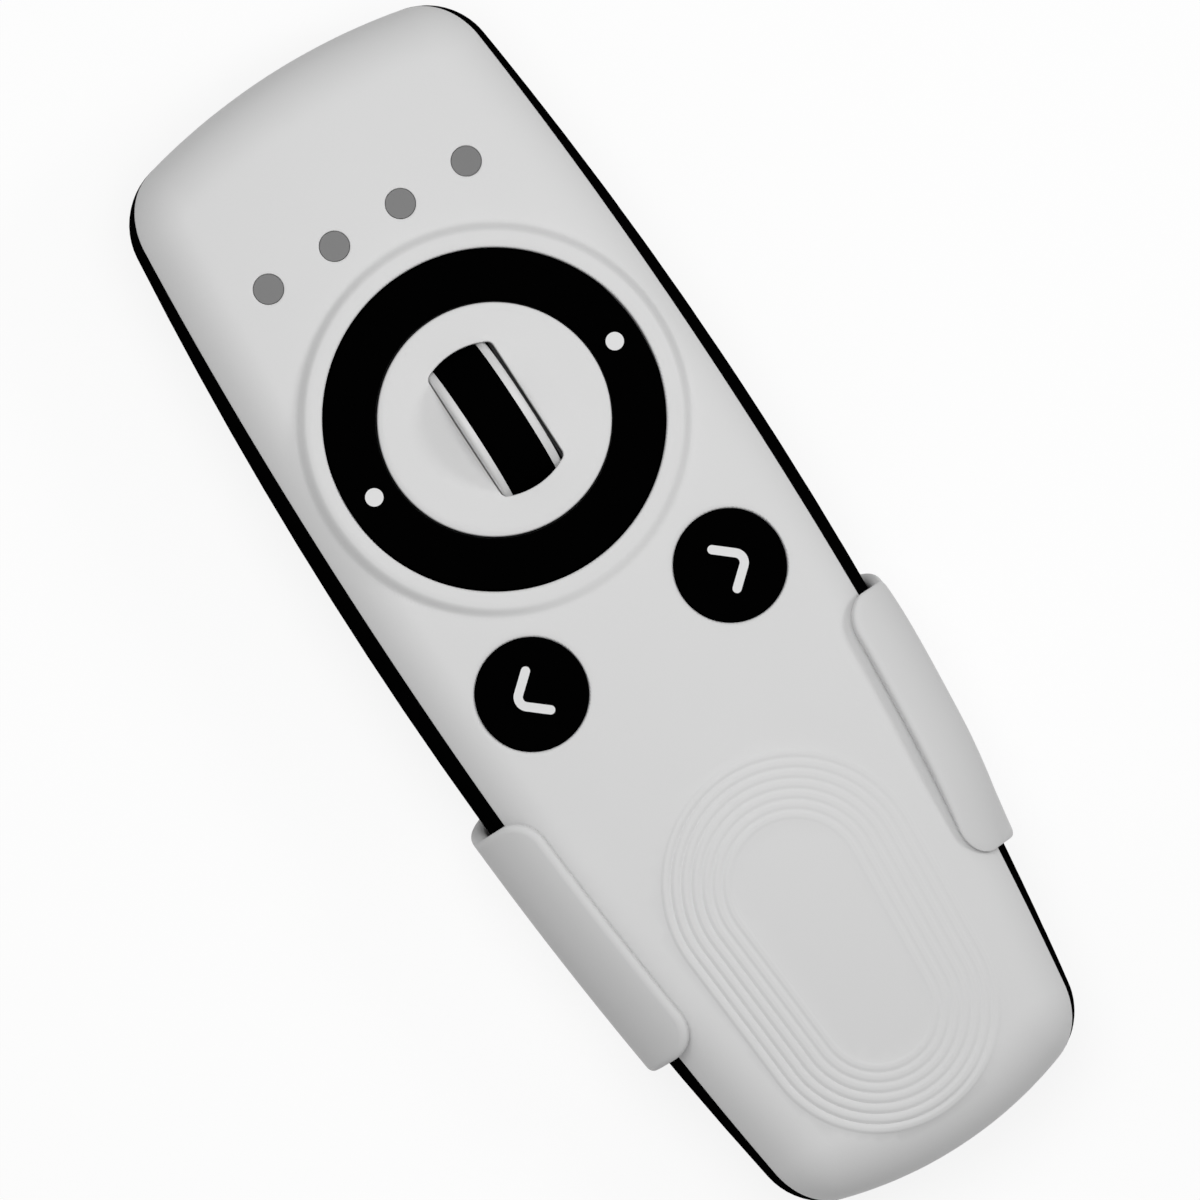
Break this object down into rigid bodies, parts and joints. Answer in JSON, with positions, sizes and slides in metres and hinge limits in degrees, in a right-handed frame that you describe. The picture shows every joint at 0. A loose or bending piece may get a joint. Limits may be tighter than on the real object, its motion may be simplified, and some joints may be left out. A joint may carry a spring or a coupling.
{
  "type": "smart remote control",
  "caption": "Hand-held remote control with a rocking ring, scroll wheel and round keys, seated in a wall holder whose wings wrap round its sides.",
  "frame": {"origin": "middle of the holder's back plane, half way along the remote; z = 0 is the plane that goes on the wall", "axes": "+X to the right across the face, +Y along the remote towards its top end, +Z out of the face"},
  "size_m": [0.0534, 0.1384, 0.025],
  "materials": {
    "holder_grey": "fine matt moulded plastic",
    "shell_grey": "fine matt moulded plastic",
    "case_black": "fine matt moulded plastic",
    "key_black": "satin moulded plastic",
    "frame_black": "plain moulded plastic",
    "window_grey": "smoky translucent plastic",
    "lamp_white": "cast resin",
    "board_green": "solder resist",
    "chip_black": "moulded package",
    "tin_plate": "tinned sheet",
    "steel": "bright zinc plate",
    "nickel": "nickel-plated strip",
    "cell_sleeve": "plain dark sleeve with a bare metal end",
    "mark_white": "white inlay",
    "stem_white": "natural plastic",
    "rim_grey": "fine matt moulded plastic",
    "tread_rubber": "matt moulded rubber"
  },
  "bodies": {
    "holder": {"wall_holder": "holder_grey"},
    "remote": {"front_shell": "shell_grey", "back_shell": "case_black", "inner_frame": "frame_black", "wheel_bezel": "shell_grey", "light_guide": "window_grey", "indicator_lights": "lamp_white", "main_board": "board_green", "processor_chip": "chip_black", "radio_module": "tin_plate", "board_crystal": "tin_plate", "antenna": "tin_plate", "ring_switches": "chip_black", "channel_switches": "chip_black", "wheel_switch": "chip_black", "pairing_switch": "chip_black", "case_screws": "steel", "cell_left": "cell_sleeve", "cell_right": "cell_sleeve", "leaf_contacts": "nickel", "flat_contacts": "nickel"},
    "rocker": {"rocker_ring": "key_black", "ring_dots": "mark_white", "ring_switch_stems": "stem_white"},
    "left_key": {"left_button": "key_black", "left_chevron": "mark_white", "left_switch_stem": "stem_white"},
    "right_key": {"right_button": "key_black", "right_chevron": "mark_white", "right_switch_stem": "stem_white"},
    "wheel_carrier": {"wheel_cradle": "frame_black", "wheel_encoder": "chip_black", "wheel_switch_stem": "stem_white"},
    "scroll_wheel": {"wheel_hub": "rim_grey", "wheel_tyre": "tread_rubber", "wheel_axle": "steel"},
    "door": {"battery_door": "case_black"},
    "pairing_key": {"pairing_button": "key_black", "pairing_switch_stem": "stem_white"}
  },
  "joints": [
    {"name": "remote_slide", "type": "slide", "parent": "holder", "child": "remote", "axis": [0, 1, 0], "range_m": [0, 0.062]},
    {"name": "rocker_tilt", "type": "hinge", "parent": "remote", "child": "rocker", "pos_m": [0, 0.0244, 0.0174], "axis": [1, 0, 0], "range_deg": [-2.2, 2.2], "stiffness_Nm_per_rad": 0.6},
    {"name": "left_press", "type": "slide", "parent": "remote", "child": "left_key", "axis": [0, 0, -1], "range_m": [0, 0.0005], "stiffness_N_per_m": 1000, "springref_m": -0.0003},
    {"name": "right_press", "type": "slide", "parent": "remote", "child": "right_key", "axis": [0, 0, -1], "range_m": [0, 0.0005], "stiffness_N_per_m": 1000, "springref_m": -0.0003},
    {"name": "wheel_press", "type": "slide", "parent": "remote", "child": "wheel_carrier", "axis": [0, 0, -1], "range_m": [0, 0.0005], "stiffness_N_per_m": 1000, "springref_m": -0.0003},
    {"name": "wheel_spin", "type": "hinge", "parent": "wheel_carrier", "child": "scroll_wheel", "pos_m": [0, 0.0244, 0.0161], "axis": [1, 0, 0], "continuous": true},
    {"name": "door_slide", "type": "slide", "parent": "remote", "child": "door", "axis": [0, -1, 0], "range_m": [0, 0.056]},
    {"name": "pairing_press", "type": "slide", "parent": "remote", "child": "pairing_key", "axis": [0, 0, 1], "range_m": [0, 0.0005], "stiffness_N_per_m": 1000, "springref_m": -0.0003}
  ]
}
